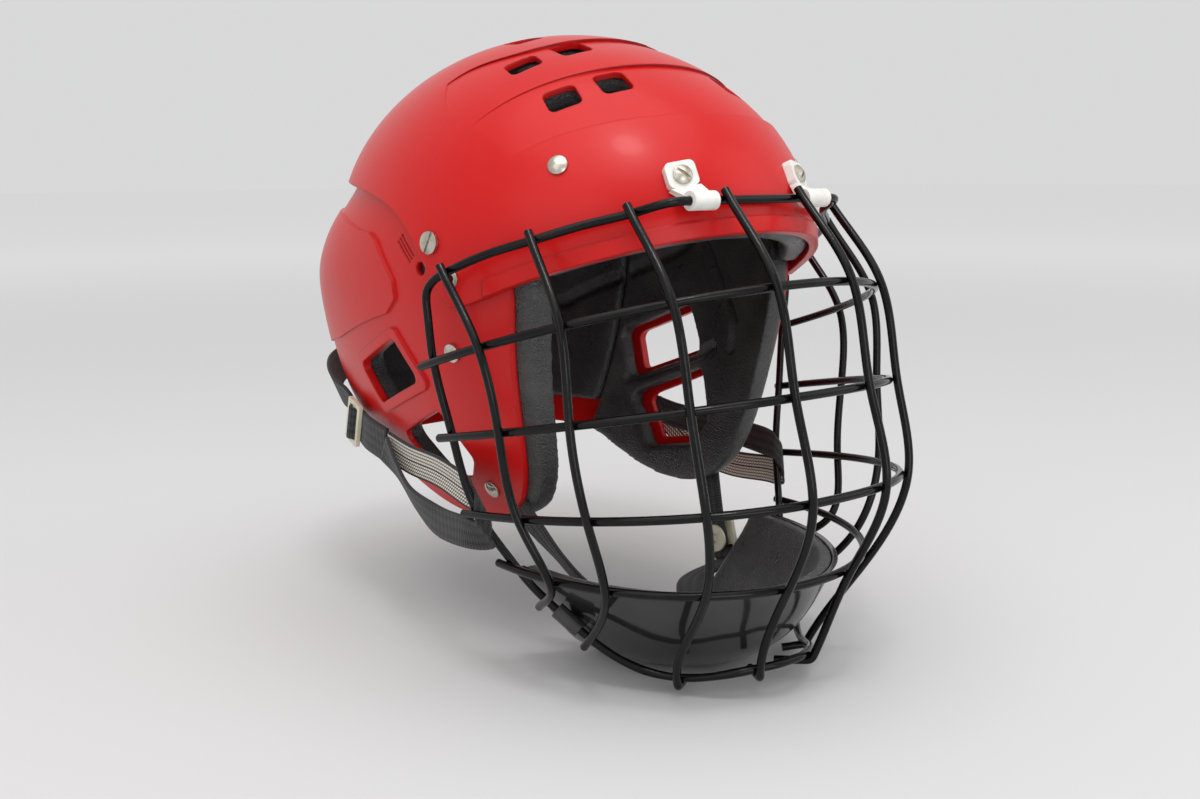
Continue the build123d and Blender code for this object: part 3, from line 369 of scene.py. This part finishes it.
foamMaterial = makeFoamSkin("skinnedFoam", foamSkin)

# Webbing, plain black, and the pale twilled face of the cage straps. Lengths are in metres.
# In each look the darkest weave colour is painted shade in the hollows between raised threads; the
# raised colour is the yarn's own.
webbingLooks = {
    "blackWebbing": {
        "hollowShade": (0.008, 0.008, 0.009), "raised": (0.03, 0.03, 0.032),
        "dark": (0.01, 0.01, 0.011), "darkShare": 0.0,
        "rib": 0.0042, "pick": 0.0014, "slant": 0.0,
    },
    "paleWebbing": {
        "hollowShade": (0.06, 0.055, 0.05), "raised": (0.85, 0.81, 0.7),
        "dark": (0.012, 0.012, 0.013), "darkShare": 1.0,
        "rib": 0.0016, "pick": 0.0018, "slant": 0.8,
    },
}
bandDetail = {
    "halfWidth": 0.007, "middleThread": 0.0004, "selvedge": 0.0009,
    "depth": 0.00035, "strength": 0.9, "rough": 0.78, "sheen": 0.15,
}


def makeWebbing(name, look):
    material, tree, shader = newMaterial(name)
    band = addNode(tree, "ShaderNodeUVMap", {"uv_map": "bandUV"}).outputs[0]
    weave = useGroup(
        tree, wovenBand,
        {"UV": band, "Rib Pitch": look["rib"], "Pick Pitch": look["pick"], "Slant": look["slant"]},
    )
    # Painted shade: the weave's hollows, away from the raised crossings of rib and pick, take the
    # darker colour; the crossings take the yarn's own colour.
    both = mathNode(tree, "MULTIPLY", weave.outputs["Rib"], weave.outputs["Pick"])
    lit = addNode(
        tree, "ShaderNodeMapRange", None, {"Value": both, "From Min": 0.06, "From Max": 0.4},
    ).outputs[0]
    tint = mixColor(tree, lit, (*look["hollowShade"], 1), (*look["raised"], 1))
    parts = addNode(tree, "ShaderNodeSeparateXYZ", None, {"Vector": band})
    # A dark thread runs along the middle of the pale face, and both selvedges are dark.
    apart = mathNode(tree, "ABSOLUTE", parts.outputs["Y"])
    edgeStart = bandDetail["halfWidth"] - bandDetail["selvedge"]
    middle = mathNode(tree, "LESS_THAN", apart, bandDetail["middleThread"])
    selvedge = mathNode(tree, "GREATER_THAN", apart, edgeStart)
    dark = mathNode(tree, "MAXIMUM", middle, selvedge)
    dark = mathNode(tree, "MULTIPLY", dark, look["darkShare"])
    tint = mixColor(tree, dark, tint, (*look["dark"], 1))
    tree.links.new(tint, shader.inputs["Base Color"])
    shader.inputs["Roughness"].default_value = bandDetail["rough"]
    shader.inputs["Sheen Weight"].default_value = bandDetail["sheen"]
    bump = addNode(
        tree, "ShaderNodeBump", None,
        {
            "Height": weave.outputs["Height"], "Distance": bandDetail["depth"],
            "Strength": bandDetail["strength"],
        },
    )
    tree.links.new(bump.outputs[0], shader.inputs["Normal"])
    return material


webbingMaterials = {name: makeWebbing(name, look) for name, look in webbingLooks.items()}
print("finishes made")

# Which hard CAD parts take which finish.
finishOfParts = {
    "redShell": ["crown_shell", "rear_shell"],
    "platedSteel": [
        "cage_clip_screws", "cage_clip_nuts", "brow_pad_rivets", "cheek_pad_rivets",
        "chin_strap_rivets", "size_screw_left", "size_screw_right", "size_screw_nuts",
        "side_eyelets",
    ],
    "whitePlastic": ["cage_clip_left", "cage_clip_right"],
    "creamPlastic": ["strap_slider_left", "strap_slider_right", "snap_socket", "chin_adjuster"],
    "blackWire": [
        name for name in nodes if name.startswith(("cage_rim", "cage_cross", "cage_upright"))
    ],
    "cupPlastic": ["chin_cup", "chin_cup_tab_left", "chin_cup_tab_right", "chin_cup_studs"],
}
for finish, names in finishOfParts.items():
    for name in names:
        part = nodes[name]
        if not part.material_slots:
            part.data.materials.append(None)
        for materialSlot in part.material_slots:
            materialSlot.material = hardMaterials[finish]
print("hard parts finished")


def linkPiece(name, mesh, material):
    piece = bpy.data.objects.new(name, mesh)
    bpy.context.scene.collection.objects.link(piece)
    mesh.materials.clear()
    mesh.materials.append(material)
    return piece


def settle(piece):
    bpy.context.view_layer.update()
    shaped = piece.evaluated_get(bpy.context.evaluated_depsgraph_get())
    mesh = bpy.data.meshes.new_from_object(shaped)
    piece.modifiers.clear()
    piece.data = mesh


easing = {"weldGap": 0.01, "pull": 0.5}  # mm, and how far each smoothing round pulls


def meshOfPart(name):
    mesh = nodes[name].data.copy()
    work = bmesh.new()
    work.from_mesh(mesh)
    bmesh.ops.remove_doubles(work, verts=work.verts, dist=easing["weldGap"] * mm)
    work.to_mesh(mesh)
    work.free()
    return mesh


# Each pad starts from a copy of its CAD solid, which is remeshed evenly and has its edges eased.
def easedCopy(name, part, make, material):
    piece = linkPiece(name, meshOfPart(part), material)
    remesh = piece.modifiers.new("evenSkin", "REMESH")
    remesh.mode = "VOXEL"
    remesh.voxel_size = make["voxel"] * mm
    settle(piece)
    work = bmesh.new()
    work.from_mesh(piece.data)
    for _ in range(make["rounds"]):
        bmesh.ops.smooth_vert(
            work, verts=work.verts, factor=easing["pull"],
            use_axis_x=True, use_axis_y=True, use_axis_z=True,
        )
    pressChannels(work, make)
    for face in work.faces:
        face.smooth = True
    work.to_mesh(piece.data)
    work.free()
    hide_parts(part)
    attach(piece, make["body"])
    return piece


def pressChannels(work, make):
    # Moulded channels sink into the side that faces the head.
    side = make.get("side", 1)
    work.normal_update()
    moves = []
    for line in make.get("channels", []):
        route = [Vector((side * x, y, z)) * mm for x, y, z in line["route"]]
        width, depth = line["width"] * mm, line["depth"] * mm
        for vert in work.verts:
            gap = min(distanceToRun(vert.co, a, b) for a, b in zip(route, route[1:]))
            if gap < width and vert.normal.dot(Vector(make["heart"]) * mm - vert.co) > 0:
                moves.append((vert, -vert.normal * depth * (1 - (gap / width) ** 2) ** 2))
    for vert, move in moves:
        vert.co += move


def distanceToRun(place, start, end):
    run = end - start
    share = max(0.0, min(1.0, (place - start).dot(run) / run.length_squared))
    return (place - start - run * share).length


# Foam pads, with the channels of their cushions in mm on the wearer's left.
cheekChannels = [
    {"width": 5, "depth": 3.5, "route": [
        (86, 3, 2), (85, -5.8, -10.2), (83.9, -11.6, -18.8), (81.8, -19.3, -28.7),
        (79.5, -26.5, -35.9), (76.2, -34.7, -43.3), (74.3, -36.8, -49.3), (71, -37, -56),
    ]},
    {"width": 4.5, "depth": 2.5, "route": [
        (68.7, 41.1, -80.8), (71.4, 24, -75.7), (73.9, 2.1, -67.9), (75.3, -20, -58),
    ]},
    {"width": 5, "depth": 3, "route": [
        (82, 52, -23), (84.5, 36, -17), (86.5, 20, -11), (87, 8, -4),
    ]},
]
napeChannels = [
    {"width": 5, "depth": 3.5, "route": [
        (56, 115, -48), (67.4, 97.5, -43.1), (72.3, 87.3, -37.2), (76.7, 75.2, -31.9),
        (80, 62.1, -27.3),
    ]},
    {"width": 5, "depth": 3.5, "route": [
        (42, 126, 10), (43, 127, -30), (42, 122, -70), (38, 115, -96),
    ]},
]
foamPads = {
    "browPadFoam": {"part": "brow_pad", "body": "crown", "voxel": 1.1, "rounds": 20},
    "crownLinerFoam": {"part": "crown_liner", "body": "crown", "voxel": 1.4, "rounds": 20},
    "cheekPadFoamLeft": {
        "part": "cheek_pad_left", "body": "rear", "voxel": 1.0, "rounds": 26,
        "side": 1, "heart": (10, 0, -40), "channels": cheekChannels,
    },
    "cheekPadFoamRight": {
        "part": "cheek_pad_right", "body": "rear", "voxel": 1.0, "rounds": 26,
        "side": -1, "heart": (-10, 0, -40), "channels": cheekChannels,
    },
    "napePadFoamLeft": {
        "part": "nape_pad_left", "body": "rear", "voxel": 1.2, "rounds": 24,
        "side": 1, "heart": (10, 20, -40), "channels": napeChannels,
    },
    "napePadFoamRight": {
        "part": "nape_pad_right", "body": "rear", "voxel": 1.2, "rounds": 24,
        "side": -1, "heart": (-10, 20, -40), "channels": napeChannels,
    },
    "chinCupFoam": {"part": "chin_cup_lining", "body": "cage", "voxel": 1.0, "rounds": 12},
}
for padName, padMake in foamPads.items():
    pad = easedCopy(padName, padMake["part"], padMake, foamMaterial)
    print("padded", padName, len(pad.data.polygons), "faces")

# Straps: places of the middle line in mm, and the direction across the band. The cage and nape
# straps are given on the wearer's right. At the nape the band stands up to 7 mm off the shell,
# slack that the slide of the rear shell takes up.
bandRows = 8
cageStrap = {
    "width": 14, "thickness": 1.5, "perSpan": 8, "body": "cage",
    "route": [
        ((-83.5, 38, -98), (0, -0.14, 0.99)), ((-84, 16, -101), (0, -0.07, 1)),
        ((-85.5, -12, -101.5), (0, -0.06, 1)), ((-87.8, -38, -104.5), (0, -0.11, 0.99)),
        ((-89.2, -50.6, -106.4), (-0.28, 0.29, 0.92)), ((-89.2, -53.7, -108.8), (-0.3, 0.34, 0.89)),
        ((-90.4, -55.8, -112), (-0.32, 0.38, 0.86)), ((-91, -56.4, -115.8), (-0.34, 0.42, 0.84)),
        ((-90.2, -56.6, -120), (-0.36, 0.45, 0.82)), ((-92.5, -44, -121), (0, 0.04, 1)),
        ((-90.5, -19, -122), (0, -0.08, 1)), ((-88.5, 6, -117), (-0.4, -0.29, 0.87)),
        ((-87, 24, -106), (-0.38, -0.45, 0.81)), ((-86.2, 37, -98.6), (0, -0.49, 0.87)),
    ],
}
napeStrap = {
    "width": 17, "thickness": 1.5, "perSpan": 6, "body": "cage",
    "route": [
        ((-84.2, 38, -98), (0, -0.16, 0.99)), ((-84, 56, -95), (0, -0.15, 0.99)),
        ((-81.9, 66.2, -93.6), (-0.01, -0.17, 0.99)), ((-81.7, 68.5, -92.9), (-0.02, -0.3, 0.95)),
        ((-85.6, 72, -91.9), (-0.02, -0.3, 0.95)), ((-85.4, 74.3, -91.1), (-0.02, -0.3, 0.95)),
        ((-80.9, 77.2, -90.1), (-0.02, -0.3, 0.95)), ((-80.7, 79.5, -89.4), (-0.04, -0.49, 0.87)),
        ((-76.7, 88.2, -83.9), (-0.43, -0.18, 0.88)), ((-75.8, 102.5, -80.9), (-0.42, -0.08, 0.9)),
        ((-72.1, 115.2, -78.2), (-0.41, -0.02, 0.91)), ((-66.7, 126.6, -75.8), (-0.39, 0.04, 0.92)),
        ((-60, 136.7, -73.8), (-0.36, 0.11, 0.93)), ((-51.6, 145.3, -72.2), (-0.3, 0.17, 0.94)),
        ((-42, 152, -70.9), (-0.23, 0.22, 0.95)), ((-30.9, 157, -69.9), (-0.14, 0.25, 0.96)),
        ((-17.8, 160.2, -69.4), (-0.06, 0.26, 0.96)), ((0, 160.9, -69.2), (0, 0.26, 0.96)),
    ],
}
longChinStrap = {
    "width": 13, "thickness": 1.5, "perSpan": 6, "body": "rear",
    "route": [
        ((-67.8, -25.7, -102.4), (0.18, 0.72, -0.67)), ((-61.9, -35.1, -111), (0.18, 0.72, -0.67)),
        ((-59, -46, -122), (0.12, 0.82, -0.56)), ((-50, -55, -138), (0.31, 0.9, -0.31)),
        ((-40, -63, -152), (0.24, 0.94, -0.24)), ((-20, -70, -166), (0.22, 0.98, 0)),
        ((0, -72, -170.5), (-0.1, 0.99, 0)), ((18, -66, -170), (-0.51, 0.86, 0)),
        ((30, -54, -169), (-0.63, 0.78, 0)), ((42, -46.5, -168), (-0.13, 0.98, -0.13)),
        ((57.9, -49.4, -162.9), (0, 0.97, -0.25)), ((57.9, -48.6, -160), (0, 0.97, -0.26)),
        ((62.1, -47.3, -155.4), (0, 0.97, -0.26)), ((62.1, -46.6, -152.5), (0, 0.97, -0.26)),
    ],
}
shortChinStrap = {
    "width": 13, "thickness": 1.5, "perSpan": 6, "body": "rear",
    "route": [
        ((68.1, -28.1, -100.9), (0.02, -0.93, 0.36)), ((61.6, -32.7, -112.5), (0.02, -0.93, 0.36)),
        ((56.2, -42.6, -137.6), (0, -0.94, 0.33)), ((56.2, -46.2, -151.1), (0, -0.97, 0.26)),
        ((56.2, -47.1, -154.5), (0, -0.97, 0.26)),
    ],
}


def otherSide(route):
    return [((-x, y, z), (-a, b, c)) for (x, y, z), (a, b, c) in route]


def curveAt(points, place):
    # Smooth value at a place counted in spans, through a list of vectors.
    i = min(int(place), len(points) - 2)
    t = place - i
    a, b = points[max(i - 1, 0)], points[i]
    c, d = points[i + 1], points[min(i + 2, len(points) - 1)]
    pull, push = (c - a) / 2, (d - b) / 2
    return (
        b * (2 * t**3 - 3 * t**2 + 1) + pull * (t**3 - 2 * t**2 + t)
        + c * (3 * t**2 - 2 * t**3) + push * (t**3 - t**2)
    )


def makeStrap(name, part, make, route, facing, materials):
    centres = [Vector(centre) * mm for centre, _ in route]
    acrosses = [Vector(across).normalized() for _, across in route]
    spans = len(route) - 1
    halfBand = make["width"] / 2 * mm
    work = bmesh.new()
    bmesh.ops.create_grid(
        work, x_segments=spans * make["perSpan"], y_segments=bandRows, size=1,
    )
    uvLayer = work.loops.layers.uv.new("bandUV")
    reach, last, soFar = {}, centres[0], 0.0
    for x in sorted({round(vert.co.x, 5) for vert in work.verts}):
        centre = curveAt(centres, (x + 1) / 2 * spans)
        soFar += (centre - last).length
        reach[x], last = (soFar, centre), centre
    for face in work.faces:
        face.smooth = True
        for loop in face.loops:
            along = reach[round(loop.vert.co.x, 5)][0]
            loop[uvLayer].uv = (along, loop.vert.co.y * halfBand)
    for vert in work.verts:
        place = (vert.co.x + 1) / 2 * spans
        across = curveAt(acrosses, place).normalized()
        vert.co = curveAt(centres, place) + across * (vert.co.y * halfBand)
    bmesh.ops.recalc_face_normals(work, faces=work.faces)
    work.normal_update()
    first = min(work.faces, key=lambda face: face.index)
    if first.normal.dot(Vector(facing)) < 0:
        bmesh.ops.reverse_faces(work, faces=work.faces)
    mesh = bpy.data.meshes.new(name)
    work.to_mesh(mesh)
    work.free()
    strap = linkPiece(name, mesh, materials[0])
    for material in materials[1:]:
        mesh.materials.append(material)
    # The back of a band takes the last material: the cage straps are black in front, pale behind.
    wall = strap.modifiers.new("bandThickness", "SOLIDIFY")
    wall.thickness = make["thickness"] * mm
    wall.offset = 0
    wall.material_offset = len(materials) - 1
    settle(strap)
    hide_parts(part)
    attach(strap, make["body"])


black, pale = webbingMaterials["blackWebbing"], webbingMaterials["paleWebbing"]
cageRight, cageLeft = cageStrap["route"], otherSide(cageStrap["route"])
wholeNape = napeStrap["route"] + otherSide(napeStrap["route"][:-1])[::-1]
longHalf, shortHalf = longChinStrap["route"], shortChinStrap["route"]
left, right = (1, 0, 0), (-1, 0, 0)  # the way that the front looks where the band starts
makeStrap("cageStrapRight", "cage_strap_right", cageStrap, cageRight, left, [black, pale])
makeStrap("cageStrapLeft", "cage_strap_left", cageStrap, cageLeft, right, [black, pale])
makeStrap("napeStrapBand", "nape_strap", napeStrap, wholeNape, right, [black])
makeStrap("chinStrapLong", "chin_strap_long", longChinStrap, longHalf, right, [black])
makeStrap("chinStrapShort", "chin_strap_short", shortChinStrap, shortHalf, left, [black])
print("straps laid")

# Studio: a pale floor that fades into the world, a large soft light above, a small key and
# weaker lights around. Near the helmet the floor is painted darker, painted shade that offsets the
# lamps' pool of light so the floor meets the world at one brightness. The floor's size, the fade
# and the lights' sizes are in metres.
studio = {
    "floorSize": 40, "floorGap": 0.5, "nearTone": 0.66, "farTone": 0.98, "fade": (0.5, 3.4),
    "world": (0.69, 0.69, 0.695), "worldStrength": 1.0, "lightsAim": (0, 0, -50),
    "lights": [
        {"name": "overheadSoft", "spot": (-250, -350, 1600), "size": 2.2, "watts": 14},
        {"name": "keySpark", "spot": (-350, -650, 1500), "size": 0.35, "watts": 4.5},
        {"name": "leftSoft", "spot": (-1800, -700, 1000), "size": 1.6, "watts": 4},
        {"name": "rightSoft", "spot": (1300, -1300, 1000), "size": 1.6, "watts": 4},
        {"name": "faceFill", "spot": (-450, -1600, 60), "size": 0.9, "watts": 4},
    ],
}


def makeStudio(make):
    work = bmesh.new()
    bmesh.ops.create_grid(work, x_segments=1, y_segments=1, size=make["floorSize"] / 2)
    bmesh.ops.translate(work, verts=work.verts, vec=(0, 0, cadBox[0].z - make["floorGap"] * mm))
    mesh = bpy.data.meshes.new("studioFloor")
    work.to_mesh(mesh)
    work.free()
    material, tree, shader = newMaterial("paleFloor")
    place = addNode(tree, "ShaderNodeTexCoord").outputs["Object"]
    length = addNode(tree, "ShaderNodeVectorMath", {"operation": "LENGTH"}, {0: place})
    reach = length.outputs["Value"]
    # Painted shade: the floor's colour is darker near the middle, where the lamps light it most,
    # and pales with distance.
    far = addNode(
        tree, "ShaderNodeMapRange", {"interpolation_type": "SMOOTHSTEP"},
        {"Value": reach, "From Min": make["fade"][0], "From Max": make["fade"][1]},
    ).outputs[0]
    near, away = ((make[key],) * 3 for key in ("nearTone", "farTone"))
    tree.links.new(mixColor(tree, far, (*near, 1), (*away, 1)), shader.inputs["Base Color"])
    shader.inputs["Roughness"].default_value = 1.0
    shader.inputs["Specular IOR Level"].default_value = 0.0
    linkPiece("studioFloor", mesh, material)
    world = bpy.data.worlds.new("paleStudio")
    world.use_nodes = True
    backdrop = world.node_tree.nodes["Background"]
    backdrop.inputs["Color"].default_value = (*make["world"], 1)
    backdrop.inputs["Strength"].default_value = make["worldStrength"]
    bpy.context.scene.world = world
    for light in make["lights"]:
        lamp = bpy.data.objects.new(light["name"], bpy.data.lights.new(light["name"], "AREA"))
        lamp.data.shape = "DISK"
        lamp.data.size = light["size"]
        lamp.data.energy = light["watts"]
        lamp.location = Vector(light["spot"]) * mm
        sight = Vector(make["lightsAim"]) * mm - lamp.location
        lamp.rotation_euler = sight.to_track_quat("-Z", "Y").to_euler()
        bpy.context.scene.collection.objects.link(lamp)


makeStudio(studio)
bpy.context.scene.view_settings.view_transform = "Standard"
print("studio lit")
